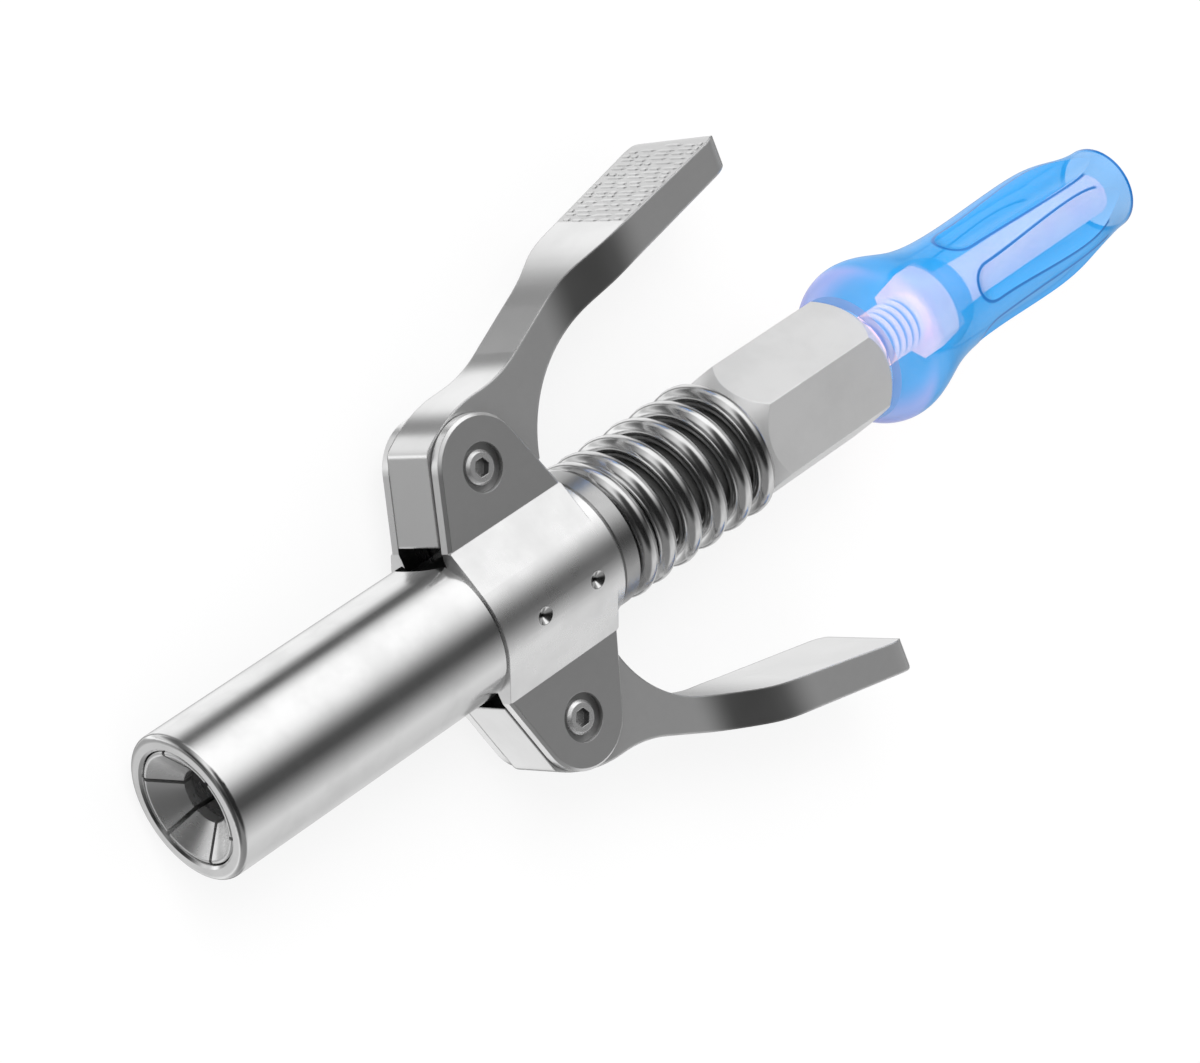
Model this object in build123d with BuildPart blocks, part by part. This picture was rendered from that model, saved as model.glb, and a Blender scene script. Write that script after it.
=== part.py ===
from build123d import *
import math
import os

# A two-lever locking grease coupler with a booted hose stem, in millimetres.
# The origin is the middle of the jaws' gripping lip, where a grease fitting's neck sits.
# X runs along the axis to the rear, Y is in the plane of the two levers and Z is up, square to
# that plane. The coupler is at rest, with its jaws closed.

# Clearances
running_gap = 0.05
press_gap = 0.02
seat_gap = 0.1
side_gap = 0.2
cam_gap = 0.05

# Nose barrel
barrel_radius = 9.0
barrel_length = 40.8
barrel_bore = 7.5
mouth_radius = 7.15
land_radius = 6.25
land_start = 4.9
land_length = 2.6
rim_round = 0.8
mouth_chamfer = 0.25
seam_chamfer = 0.35
spigot_wall = 0.6
notch_reach = 3.2
slot_tail = 3.0

# Ear collar
collar_radius = 9.2
collar_length = 19.6
collar_flange = 1.9
ear_radius = 6.2
ear_thickness = 1.5
ear_root_length = 18.0
ear_shoulder = 9.5
ear_chamfer = 0.35
ear_gap_floor = 8.9
dimple_radius = 1.1
dimple_depth = 0.8
dimple_first = 6.4
dimple_spacing = 8.7
dimple_angle = 100.0

# Thrust ring
thrust_ring_radius = 8.85
thrust_ring_width = 2.95

# Pivot pins
pivot_setback = 8.7
pivot_height = 16.0
pin_radius = 2.05
pin_recess_radius = 2.9
pin_recess_depth = 0.8
pin_shy = 0.15
pin_chamfer = 0.35
socket_radius = 1.15
socket_depth = 1.0

# Levers
hub_width = 7.4
hub_proud = 0.1
hub_corner_rise = 4.3
hub_corner_round = 1.5
crown_setback = 4.5
crown_rise = 7.35
pad_width = 13.2
tip_width = 14.8
foot_height = 10.2
heel_length = 1.0
heel_clearance = 0.7
cam_offset = 3.2
cam_depth = 10.3
cam_radius = 1.5
cam_clearance = 0.25
back_bend_radius = 16.0
back_bend_angle = 25.5
back_straight = 6.5
back_ease_radius = 55.0
back_ease_angle = 14.0
lever_reach = 49.0
crook_reach = 9.1
crook_drop = 3.4
crook_lean = 74.0
crook_radius = 17.0
crook_bend_angle = 48.6
crook_ease_radius = 60.0
crook_ease_angle = 12.4
flare_start = 18.0
flare_end = 30.0
tip_round = 3.2
tip_edge_round = 1.6

# Jaws
jaw_count = 6
jaw_recess = 0.25
jaw_gap = 0.1
slit_width = 0.5
funnel_radius = 6.5
funnel_depth = 2.6
lip_radius = 3.25
lip_length = 1.1
lip_back = 0.6
pocket_radius = 3.75
pocket_length = 10.0
jaw_neck_run = 2.6
stalk_radius = 5.65
stalk_bore = 4.6
jaw_pivot_setback = 15.6
hook_length = 2.0
hook_bore = 3.75
jaw_front_round = 0.3
ring_wire = 1.0
ring_groove = 0.35

# Jaw carrier
carrier_flange = 2.3
carrier_flange_radius = 4.3
carrier_groove_radius = 3.6
carrier_shoulder = 0.9
chamber_radius = 4.0
chamber_length = 7.5
thread_length = 7.3
thread_radius = 5.5

# Nozzle, its seal, ring and spring
nozzle_radius = 2.3
nozzle_nose_radius = 3.3
nozzle_setback = 10.6
nozzle_nose_length = 3.6
nozzle_bore = 1.0
nozzle_flange_radius = 3.85
nozzle_flange_width = 1.6
nozzle_boss_length = 2.5
seal_radius = 2.6
seal_length = 2.1
seal_seat_depth = 1.2
seal_lip = 0.5
seal_cup = 0.6
nozzle_ring_wire = 0.74
nozzle_ring_setback = 2.0
nozzle_spring_wire = 0.55
nozzle_spring_radius = 3.1
nozzle_spring_turns = 4.0

# Body tube with its hexagon, domed at both ends, and its threaded port
tube_radius = 6.25
cam_groove_length = 6.7
passage_radius = 1.2
hex_across_flats = 16.0
hex_length = 24.2
hex_turn = 4.0
hex_face_radius = 6.9
hex_dome_run = 3.0
port_depth = 10.0
port_radius = 5.1
port_taper = 0.35
body_ring_wire = 1.2
body_ring_setback = 1.0

# Check valve
ball_radius = 2.0
ball_setback = 0.6
valve_setback = 1.8
valve_radius = 2.7
valve_length = 6.9
plug_radius = 3.55
plug_length = 4.85
plug_hole_radius = 1.1
plug_socket_radius = 2.0
plug_socket_depth = 2.0
check_spring_wire = 0.4
check_spring_radius = 1.5
check_spring_turns = 4.5

# Main spring
spring_wire = 2.7
spring_radius = 7.8
spring_length = 23.45
closed_turns = 1.0
active_turns = 4.0
coil_gap = 0.12
ground_turns = 0.5
spring_turn = 90.0

# Hose stem
stem_neck_radius = 3.1
stem_neck_length = 12.3
stem_hex_across_flats = 10.0
stem_hex_width = 3.7
stem_cone_radius = 3.3
stem_cone_length = 9.0
stem_tube_radius = 2.75
stem_tube_length = 24.9
stem_bore = 1.5
stem_chamfer = 0.4
stem_backoff = 0.4

# Boot
boot_length = 51.0
boot_mouth_radius = 8.4
boot_mouth_bore = 7.0
boot_mouth_run = 1.1
bell_radius = 10.6
bell_place = 5.8
throat_radius = 8.7
throat_place = 12.2
waist_radius = 7.5
waist_place = 20.0
swell_radius = 7.7
swell_place = 34.5
heel_radius = 7.2
heel_place = 42.5
cuff_radius = 6.15
cuff_place = 47.0
boot_end_radius = 5.7
boot_cavity_radius = 6.1
flute_count = 6
flute_start = 20.9
flute_radius = 5.0
flute_depth = 1.1
flute_lean = 1.5
flute_turn = 26.0

# Places that follow from the sizes
nose = -jaw_recess - funnel_depth - lip_length / 2
land_front = nose + land_start
land_rear = land_front + land_length
collar_front = nose + barrel_length
collar_rear = collar_front + collar_length
thrust_ring_rear = collar_rear + thrust_ring_width
hex_front = thrust_ring_rear + spring_length
hex_rear = hex_front + hex_length
port_floor = hex_rear - port_depth
spigot_radius = barrel_bore + spigot_wall
spigot_end = collar_rear - collar_flange
pivot_x = collar_front + pivot_setback
slot_width = hub_width + 2 * side_gap
slot_front = collar_front - notch_reach
slot_rear = pivot_x + slot_tail
ear_face = slot_width / 2 + ear_thickness
cam_x = pivot_x - cam_offset
cam_y = pivot_height - cam_depth
cam_face = cam_x - cam_radius - cam_gap
cam_groove_rear = cam_face + cam_groove_length
cam_groove_radius = cam_y - cam_radius - cam_clearance
tube_front = cam_face - thread_length
chamber_front = tube_front - chamber_length
jaw_pivot = collar_front - jaw_pivot_setback
hook_front = jaw_pivot - hook_length / 2
hook_rear = jaw_pivot + hook_length / 2
nozzle_flange_front = chamber_front + seat_gap
nozzle_flange_rear = nozzle_flange_front + nozzle_flange_width
valve_front = hex_front + valve_setback
valve_rear = valve_front + valve_length
ball_x = valve_rear - ball_setback
boot_front = hex_rear + side_gap
boot_rear = boot_front + boot_length

os.makedirs("parts", exist_ok=True)


def keep(shape, name):
    shape.label = name
    export_step(shape, f"parts/{name}.step")


def turned(*outline):
    """A solid turned about the coupler's axis from its (x, radius) corners."""
    with BuildPart() as blank:
        with BuildSketch(Plane.XY):
            with BuildLine():
                Polyline(*outline, close=True)
            make_face()
        revolve(axis=Axis.X)
    return blank.part


def hoop(x, radius, wire):
    """A ring of round section about the axis."""
    with BuildPart() as blank:
        with BuildSketch(Plane.XY):
            with Locations((x, radius)):
                Circle(wire / 2)
        revolve(axis=Axis.X)
    return blank.part


def coil(front, rear, radius, wire, closed, active, turn):
    """A right-hand spring about the axis with closed end turns, ground flat at both ends."""
    closed_pitch = wire + coil_gap
    active_pitch = (rear - front - wire - closed * closed_pitch) / active
    place = front + wire / 2 - ground_turns * closed_pitch
    angle = turn - 360 * ground_turns
    legs = []
    for turns, pitch in (
        (closed + ground_turns, closed_pitch),
        (active, active_pitch),
        (ground_turns, closed_pitch),
    ):
        legs.append(Plane.YZ.offset(place) * Rot(Z=angle) * Helix(pitch, turns * pitch, radius))
        place += turns * pitch
        angle += 360 * turns
    with BuildPart() as spring:
        with BuildSketch(Plane(origin=legs[0] @ 0, z_dir=legs[0] % 0)):
            Circle(wire / 2)
        sweep(path=Wire(legs))
        split(bisect_by=Plane.YZ.offset(front), keep=Keep.TOP)
        split(bisect_by=Plane.YZ.offset(rear), keep=Keep.BOTTOM)
    return spring.part


# Nose barrel: a polished tube whose mouth is the closing cone for the jaws. Its rear spigot
# carries the collar, and a notch on each side lets a lever's foot reach in.
with BuildPart() as nose_barrel:
    add(turned(
        (nose, mouth_radius),
        (nose, barrel_radius),
        (collar_front, barrel_radius),
        (collar_front, spigot_radius),
        (spigot_end, spigot_radius),
        (spigot_end, barrel_bore),
        (land_rear + barrel_bore - land_radius, barrel_bore),
        (land_rear, land_radius),
        (land_front, land_radius),
    ))
    rim = nose_barrel.edges().filter_by(GeomType.CIRCLE).group_by(Axis.X)[0]
    fillet(rim.sort_by(SortBy.RADIUS)[-1], rim_round)
    rim = nose_barrel.edges().filter_by(GeomType.CIRCLE).group_by(Axis.X)[0]
    chamfer(rim.sort_by(SortBy.RADIUS)[0], mouth_chamfer)
    seam = nose_barrel.edges().filter_by_position(Axis.X, collar_front - 0.01, collar_front + 0.01)
    chamfer(seam.sort_by(SortBy.RADIUS)[-1], seam_chamfer)
    with BuildSketch(Plane.XZ):
        with Locations(((slot_front + slot_rear) / 2, 0)):
            SlotOverall(slot_rear - slot_front, slot_width)
    extrude(amount=2 * barrel_radius, both=True, mode=Mode.SUBTRACT)
keep(nose_barrel.part, "nose_barrel")

# Ear collar: a ring with a pair of ears on each side. Flat shoulders run from the ears' side
# faces to the ring, and two punched dimples lock it to the barrel's spigot.
with BuildPart() as ear_collar:
    with BuildSketch(Plane.YZ.offset(collar_front)):
        Circle(collar_radius)
        Rectangle(2 * ear_shoulder, 2 * ear_face)
        make_hull()
        Rectangle(2 * (pivot_height + ear_radius), 2 * ear_face)
    extrude(amount=collar_length)
    with BuildSketch(Plane.XY):
        with Locations((pivot_x, pivot_height), (pivot_x, -pivot_height)):
            Circle(ear_radius)
        with Locations((collar_front + ear_root_length / 2, 0)):
            Rectangle(ear_root_length, 2 * ear_shoulder)
        make_hull()
    extrude(amount=2 * collar_radius, both=True, mode=Mode.INTERSECT)
    ear_edges = ear_collar.faces().filter_by(Axis.Z).edges()
    chamfer(ear_edges.filter_by(lambda edge: abs(edge.center().Y) > ear_shoulder + ear_chamfer), ear_chamfer)
    add(turned(
        (collar_front, 0),
        (collar_front, collar_radius - seam_chamfer),
        (collar_front + seam_chamfer, collar_radius),
        (collar_rear - seam_chamfer, collar_radius),
        (collar_rear, collar_radius - seam_chamfer),
        (collar_rear, 0),
    ))
    add(turned(
        (collar_front - 1, 0),
        (collar_front - 1, spigot_radius + press_gap),
        (spigot_end + seat_gap, spigot_radius + press_gap),
        (spigot_end + seat_gap, tube_radius + running_gap),
        (collar_rear + 1, tube_radius + running_gap),
        (collar_rear + 1, 0),
    ), mode=Mode.SUBTRACT)
    with BuildSketch(Plane.XZ):
        with Locations(((slot_front + slot_rear) / 2, 0)):
            SlotOverall(slot_rear - slot_front, slot_width)
    extrude(amount=2 * barrel_radius, both=True, mode=Mode.SUBTRACT)
    ear_gap_rise = pivot_height + ear_radius - ear_gap_floor
    for side in (1, -1):
        with BuildSketch(Plane.XY):
            with Locations((pivot_x, side * (ear_gap_floor + ear_gap_rise / 2))):
                Rectangle(4 * ear_radius, ear_gap_rise)
        extrude(amount=slot_width / 2, both=True, mode=Mode.SUBTRACT)
    for face in (Plane.XY.offset(ear_face), Plane.XY.offset(-ear_face).rotated((180, 0, 0))):
        with Locations(face):
            with Locations((pivot_x, pivot_height), (pivot_x, -pivot_height)):
                CounterBoreHole(
                    pin_radius + press_gap, pin_recess_radius, pin_recess_depth, 2 * ear_thickness)
    for place in (dimple_first, dimple_first + dimple_spacing):
        across = math.cos(math.radians(dimple_angle))
        up = math.sin(math.radians(dimple_angle))
        deep = collar_radius - dimple_depth
        punch = Plane(origin=(collar_front + place, deep * across, deep * up), z_dir=(0, across, up))
        with Locations(punch):
            Cone(
                0, 2 * dimple_radius, 2 * dimple_depth,
                align=(Align.CENTER, Align.CENTER, Align.MIN), mode=Mode.SUBTRACT)
keep(ear_collar.part, "ear_collar")

# Thrust ring between the collar and the main spring
keep(turned(
    (collar_rear, tube_radius + running_gap),
    (collar_rear, thrust_ring_radius - seam_chamfer),
    (collar_rear + seam_chamfer, thrust_ring_radius),
    (thrust_ring_rear - seam_chamfer, thrust_ring_radius),
    (thrust_ring_rear, thrust_ring_radius - seam_chamfer),
    (thrust_ring_rear, tube_radius + running_gap),
), "thrust_ring")

# Pivot pins: one through each pair of ears, with a hexagon socket in both ends
pin_half = ear_face - pin_shy
for name, side in (("upper_pin", 1), ("lower_pin", -1)):
    with BuildPart() as pin:
        with BuildSketch(Plane.XY):
            with Locations((pivot_x, side * pivot_height)):
                Circle(pin_radius)
        extrude(amount=pin_half, both=True)
        chamfer(pin.edges().filter_by(GeomType.CIRCLE), pin_chamfer)
        for end in (Plane.XY.offset(pin_half), Plane.XY.offset(-pin_half).rotated((180, 0, 0))):
            with BuildSketch(end):
                with Locations(end.to_local_coords(Vector(pivot_x, side * pivot_height, end.origin.Z))):
                    RegularPolygon(socket_radius, 6)
            extrude(amount=-socket_depth, mode=Mode.SUBTRACT)
    keep(pin.part, name)

# Levers: a hub between the ears, a cam tongue that reaches into the barrel's notch and an arm
# that sweeps back to a wider thumb pad. The hub's front is parallel to the ears' front edges,
# and the lower lever mirrors the upper one.
ear_rise = pivot_height - ear_shoulder
ear_lean = math.radians(90) - math.atan2(ear_rise, pivot_setback) - math.asin(
    ear_radius / math.hypot(ear_rise, pivot_setback))
front_way = Vector(math.sin(ear_lean), math.cos(ear_lean))
front_middle = Vector(pivot_x, pivot_height) + (ear_radius + hub_proud) * Vector(-front_way.Y, front_way.X)
hub_corner = front_middle + front_way * ((pivot_height + hub_corner_rise - front_middle.Y) / front_way.Y)
front_foot = front_middle - front_way * ((front_middle.Y - foot_height) / front_way.Y)
crown = Vector(pivot_x + crown_setback, pivot_height + crown_rise)
tip_x = pivot_x + lever_reach
with BuildPart() as upper_lever:
    with BuildSketch(Plane.XY) as side_view:
        with BuildLine():
            Line(front_foot, hub_corner)
            TangentArc(crown, hub_corner, tangent=(-1, 0))
            back = JernArc(crown, (1, 0), back_bend_radius, back_bend_angle)
            arm_back = Line(back @ 1, back @ 1 + (back % 1) * back_straight)
            pad_back = JernArc(arm_back @ 1, back % 1, back_ease_radius, -back_ease_angle)
            pad_top = Line(pad_back @ 1, pad_back @ 1 + (pad_back % 1) * (
                (tip_x - (pad_back @ 1).X) / (pad_back % 1).X))
            crook = JernArc(
                (pivot_x + crook_reach, pivot_height - crook_drop),
                (math.cos(math.radians(crook_lean)), math.sin(math.radians(crook_lean))),
                crook_radius, -crook_bend_angle)
            pad_under = JernArc(crook @ 1, crook % 1, crook_ease_radius, -crook_ease_angle)
            pad_bottom = Line(pad_under @ 1, pad_under @ 1 + (pad_under % 1) * (
                (tip_x - (pad_under @ 1).X) / (pad_under % 1).X))
            Line(pad_top @ 1, pad_bottom @ 1)
            Polyline(
                crook @ 0,
                (pivot_x + heel_length, collar_radius + heel_clearance),
                (cam_x + cam_radius, cam_y))
            CenterArc((cam_x, cam_y), cam_radius, 180, 180)
            Polyline((cam_x - cam_radius, cam_y), (cam_x - cam_radius, foot_height), front_foot)
        make_face()
        fillet(side_view.vertices().group_by(Axis.X)[-1], tip_edge_round)
        fillet(side_view.vertices().sort_by_distance(hub_corner)[0], hub_corner_round)
    extrude(amount=tip_width, both=True)
    with BuildSketch(Plane.XZ) as plan_view:
        with BuildLine():
            flare_x = pivot_x + flare_start
            pad_x = pivot_x + flare_end
            Polyline((flare_x, hub_width / 2), (front_foot.X - 1, hub_width / 2), (front_foot.X - 1, 0))
            Bezier(
                (flare_x, hub_width / 2),
                ((flare_x + pad_x) / 2, hub_width / 2),
                ((flare_x + pad_x) / 2, pad_width / 2),
                (pad_x, pad_width / 2))
            Polyline(
                (pad_x, pad_width / 2), (tip_x, tip_width / 2), (tip_x, 0), (front_foot.X - 1, 0))
        make_face()
        mirror(about=Plane.XZ)
        fillet(plan_view.vertices().group_by(Axis.X)[-1], tip_round)
    extrude(amount=2 * (pivot_height + lever_reach), both=True, mode=Mode.INTERSECT)
    with Locations((pivot_x, pivot_height)):
        Hole(pin_radius + running_gap)
keep(upper_lever.part, "upper_lever")
keep(mirror(upper_lever.part, about=Plane.XZ), "lower_lever")


# Jaws: a ring of fingers with a funnel mouth, a gripping lip, a pocket for the fitting's head and
# a rear hook that rocks in the carrier's groove
def jaw_cone(x):
    return mouth_radius - jaw_gap - (x - nose) * (mouth_radius - land_radius) / land_start


def around(angle):
    return Vector(0, -math.sin(math.radians(angle)), math.cos(math.radians(angle)))


jaw_front = nose + jaw_recess
lip_front = jaw_front + funnel_depth
lip_rear = lip_front + lip_length
pocket_rear = lip_rear + lip_back + pocket_length
groove_half = ring_wire / 2 + running_gap
jaw_arc = 360 / jaw_count
for number in range(jaw_count):
    start = number * jaw_arc
    with BuildPart() as jaw:
        with BuildSketch(Plane.XY.rotated((start, 0, 0))) as outline:
            with BuildLine():
                Polyline(
                    (jaw_front, jaw_cone(jaw_front)),
                    (land_front, jaw_cone(land_front)),
                    (land_front + jaw_neck_run, stalk_radius),
                    (jaw_pivot - groove_half, stalk_radius),
                    (jaw_pivot - groove_half, stalk_radius - ring_groove),
                    (jaw_pivot + groove_half, stalk_radius - ring_groove),
                    (jaw_pivot + groove_half, stalk_radius),
                    (hook_rear, stalk_radius),
                    (hook_rear, hook_bore),
                    (hook_front, hook_bore),
                    (hook_front, stalk_bore),
                    (pocket_rear + stalk_bore - pocket_radius, stalk_bore),
                    (pocket_rear, pocket_radius),
                    (lip_rear + lip_back, pocket_radius),
                    (lip_rear, lip_radius),
                    (lip_front, lip_radius),
                    (jaw_front, funnel_radius),
                    close=True)
            make_face()
            fillet(outline.vertices().group_by(Axis.X)[0], jaw_front_round)
        revolve(axis=Axis.X, revolution_arc=jaw_arc)
        split(bisect_by=Plane(origin=(0, 0, 0), z_dir=around(start)).offset(slit_width / 2), keep=Keep.TOP)
        split(
            bisect_by=Plane(origin=(0, 0, 0), z_dir=-around(start + jaw_arc)).offset(slit_width / 2),
            keep=Keep.TOP)
    keep(jaw.part, f"jaw_{number + 1}")

# Jaw retaining ring, in the groove round the jaws' hooks
keep(hoop(jaw_pivot, stalk_radius - ring_groove + ring_wire / 2 + running_gap, ring_wire), "jaw_ring")

# Jaw carrier: guides the barrel, holds the jaws' hooks and the nozzle, and its rear face is the
# shoulder that both cam tongues push against
keep(turned(
    (hook_front - running_gap - carrier_flange, nozzle_radius + running_gap),
    (hook_front - running_gap - carrier_flange, carrier_flange_radius),
    (hook_front - running_gap, carrier_flange_radius),
    (hook_front - running_gap, carrier_groove_radius),
    (hook_rear + seat_gap, carrier_groove_radius),
    (hook_rear + seat_gap, stalk_radius),
    (hook_rear + seat_gap + carrier_shoulder, stalk_radius),
    (hook_rear + seat_gap + carrier_shoulder, barrel_bore - running_gap),
    (cam_face, barrel_bore - running_gap),
    (cam_face, thread_radius + press_gap),
    (tube_front, thread_radius + press_gap),
    (tube_front, chamber_radius),
    (chamber_front, chamber_radius),
    (chamber_front, nozzle_radius + running_gap),
), "jaw_carrier")

# Nozzle: a spring-loaded plunger with a rubber face that seals on the fitting's tip
nozzle_nose_front = nose + nozzle_setback
nozzle_nose_rear = nozzle_nose_front + nozzle_nose_length
nozzle_ring_x = nozzle_flange_front - nozzle_ring_setback
nozzle_ring_half = nozzle_ring_wire / 2 + press_gap
nozzle_groove_radius = nozzle_radius - nozzle_ring_wire
keep(turned(
    (nozzle_nose_front + seal_seat_depth, nozzle_bore),
    (nozzle_nose_front + seal_seat_depth, seal_radius + press_gap),
    (nozzle_nose_front, seal_radius + press_gap),
    (nozzle_nose_front, nozzle_nose_radius),
    (nozzle_nose_rear, nozzle_nose_radius),
    (nozzle_nose_rear, nozzle_radius),
    (nozzle_ring_x - nozzle_ring_half, nozzle_radius),
    (nozzle_ring_x - nozzle_ring_half, nozzle_groove_radius),
    (nozzle_ring_x + nozzle_ring_half, nozzle_groove_radius),
    (nozzle_ring_x + nozzle_ring_half, nozzle_radius),
    (nozzle_flange_front, nozzle_radius),
    (nozzle_flange_front, nozzle_flange_radius),
    (nozzle_flange_rear, nozzle_flange_radius),
    (nozzle_flange_rear, nozzle_radius),
    (nozzle_flange_rear + nozzle_boss_length, nozzle_radius),
    (nozzle_flange_rear + nozzle_boss_length, nozzle_bore),
), "nozzle")
seal_rear = nozzle_nose_front + seal_seat_depth
keep(turned(
    (seal_rear, nozzle_bore),
    (seal_rear, seal_radius),
    (seal_rear - seal_length, seal_radius),
    (seal_rear - seal_length, seal_radius - seal_lip),
    (seal_rear - seal_length + seal_cup, nozzle_bore),
), "nozzle_seal")
keep(hoop(nozzle_ring_x, nozzle_radius - nozzle_ring_wire / 2, nozzle_ring_wire), "nozzle_ring")
keep(coil(
    nozzle_flange_rear, tube_front, nozzle_spring_radius, nozzle_spring_wire,
    0, nozzle_spring_turns, 0), "nozzle_spring")

# Body tube: a threaded front, a waist that the cam tongues reach round, the tube that the main
# spring slides on, and a hexagon with a tapered port in its rear face
body_ring_front = tube_front + body_ring_setback
body_ring_rear = body_ring_front + body_ring_wire + 2 * press_gap
body_groove_radius = thread_radius - body_ring_wire
port_floor_radius = port_radius - port_taper
hex_corner = hex_across_flats / math.sqrt(3)
dome_setback = (hex_dome_run**2 + hex_corner**2 - hex_face_radius**2) / (2 * hex_dome_run)
dome_radius = math.hypot(dome_setback, hex_face_radius)
with BuildPart() as body_tube:
    with BuildSketch(Plane.YZ.offset(hex_front)):
        RegularPolygon(hex_across_flats / 2, 6, major_radius=False, rotation=hex_turn)
    extrude(amount=hex_length)
    with BuildSketch(Plane.XY):
        with BuildLine():
            front_dome = RadiusArc(
                (hex_front, hex_face_radius), (hex_front + hex_dome_run, hex_corner), dome_radius)
            rear_dome = RadiusArc(
                (hex_rear - hex_dome_run, hex_corner), (hex_rear, hex_face_radius), dome_radius)
            Line(front_dome @ 1, rear_dome @ 0)
            Polyline(front_dome @ 0, (hex_front, 0), (hex_rear, 0), rear_dome @ 1)
        make_face()
    revolve(axis=Axis.X, mode=Mode.INTERSECT)
    add(turned(
        (tube_front, 0),
        (tube_front, thread_radius),
        (body_ring_front, thread_radius),
        (body_ring_front, body_groove_radius),
        (body_ring_rear, body_groove_radius),
        (body_ring_rear, thread_radius),
        (cam_face, thread_radius),
        (cam_face, cam_groove_radius),
        (cam_groove_rear, cam_groove_radius),
        (cam_groove_rear, tube_radius),
        (hex_front + 1, tube_radius),
        (hex_front + 1, 0),
    ))
    add(turned(
        (tube_front - 1, 0),
        (tube_front - 1, passage_radius),
        (valve_front, passage_radius),
        (valve_front, valve_radius),
        (valve_rear, valve_radius),
        (valve_rear, plug_radius + press_gap),
        (port_floor, plug_radius + press_gap),
        (port_floor, port_floor_radius),
        (hex_rear, port_radius),
        (hex_rear, 0),
    ), mode=Mode.SUBTRACT)
keep(body_tube.part, "body_tube")
body_ring_x = (body_ring_front + body_ring_rear) / 2
keep(hoop(body_ring_x, thread_radius - body_ring_wire / 2, body_ring_wire), "body_ring")

# Check valve: a ball held on its seat by a light spring. It lifts forward when grease is pumped.
plug_front = valve_rear + running_gap
seat_cone = ball_x + math.sqrt(2) * (ball_radius + running_gap)
with BuildPart() as check_ball:
    with Locations((ball_x, 0, 0)):
        Sphere(ball_radius)
keep(check_ball.part, "check_ball")
ball_touch = math.sqrt(ball_radius**2 - check_spring_radius**2)
keep(coil(
    valve_front, ball_x - ball_touch - check_spring_wire / 2 - running_gap,
    check_spring_radius, check_spring_wire, 0, check_spring_turns, 0), "check_spring")
with BuildPart() as seat_plug:
    add(turned(
        (plug_front, seat_cone - plug_front),
        (plug_front, plug_radius),
        (plug_front + plug_length, plug_radius),
        (plug_front + plug_length, plug_hole_radius),
        (seat_cone - plug_hole_radius, plug_hole_radius),
    ))
    with BuildSketch(Plane.YZ.offset(plug_front + plug_length)):
        RegularPolygon(plug_socket_radius, 6)
    extrude(amount=-plug_socket_depth, mode=Mode.SUBTRACT)
keep(seat_plug.part, "seat_plug")

# Main spring, between the thrust ring and the hexagon
keep(coil(
    thrust_ring_rear, hex_front, spring_radius, spring_wire,
    closed_turns, active_turns, spring_turn), "main_spring")

# Hose stem: a tapered thread in the port, a neck, a small hexagon and a long grease tube
stem_front = port_floor + stem_backoff
stem_hex_front = hex_rear + stem_neck_length
stem_hex_rear = stem_hex_front + stem_hex_width
stem_cone_rear = stem_hex_rear + stem_cone_length
stem_rear = stem_cone_rear + stem_tube_length
with BuildPart() as hose_stem:
    with BuildSketch(Plane.YZ.offset(stem_hex_front)):
        RegularPolygon(stem_hex_across_flats / 2, 6, major_radius=False)
    extrude(amount=stem_hex_width)
    add(turned(
        (stem_front, 0),
        (stem_front, port_radius - press_gap - port_taper * (hex_rear - stem_front) / port_depth),
        (hex_rear, port_radius - press_gap),
        (hex_rear, stem_neck_radius),
        (stem_hex_front + 1, stem_neck_radius),
        (stem_hex_front + 1, stem_cone_radius),
        (stem_hex_rear, stem_cone_radius),
        (stem_cone_rear, stem_tube_radius),
        (stem_rear - stem_chamfer, stem_tube_radius),
        (stem_rear, stem_tube_radius - stem_chamfer),
        (stem_rear, 0),
    ))
    add(turned(
        (stem_front - 1, 0),
        (stem_front - 1, stem_bore),
        (stem_rear + 1, stem_bore),
        (stem_rear + 1, 0),
    ), mode=Mode.SUBTRACT)
keep(hose_stem.part, "hose_stem")

# Boot: a soft bell-mouthed sleeve over the stem, with wide flutes that run out before its rear cuff
with BuildPart() as boot:
    with BuildSketch(Plane.XY):
        with BuildLine():
            Line((boot_front, boot_mouth_bore), (boot_front, boot_mouth_radius))
            Spline(
                (boot_front, boot_mouth_radius),
                (boot_front + bell_place, bell_radius),
                (boot_front + throat_place, throat_radius),
                (boot_front + waist_place, waist_radius),
                (boot_front + swell_place, swell_radius),
                (boot_front + heel_place, heel_radius),
                (boot_front + cuff_place, cuff_radius),
                (boot_rear, boot_end_radius))
            Polyline(
                (boot_rear, boot_end_radius),
                (boot_rear, stem_tube_radius + press_gap),
                (stem_cone_rear, stem_tube_radius + press_gap),
                (stem_hex_rear + side_gap, boot_cavity_radius),
                (boot_front + boot_mouth_run, boot_cavity_radius),
                (boot_front, boot_mouth_bore))
        make_face()
    revolve(axis=Axis.X)
    for number in range(flute_count):
        angle = math.radians(flute_turn + number * 360 / flute_count)
        across = math.cos(angle)
        up = math.sin(angle)
        flute_axis = swell_radius + flute_radius - flute_depth
        fall = math.tan(math.radians(flute_lean))
        groove = Plane(
            origin=(boot_front + flute_start, flute_axis * across, flute_axis * up),
            z_dir=(1, -fall * across, -fall * up))
        with Locations(groove):
            Sphere(flute_radius, mode=Mode.SUBTRACT)
            Cylinder(
                flute_radius, boot_length,
                align=(Align.CENTER, Align.CENTER, Align.MIN), mode=Mode.SUBTRACT)
keep(boot.part, "boot")
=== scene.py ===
import math
import random

import bmesh
import bpy
from mathutils import Matrix, Vector


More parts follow.
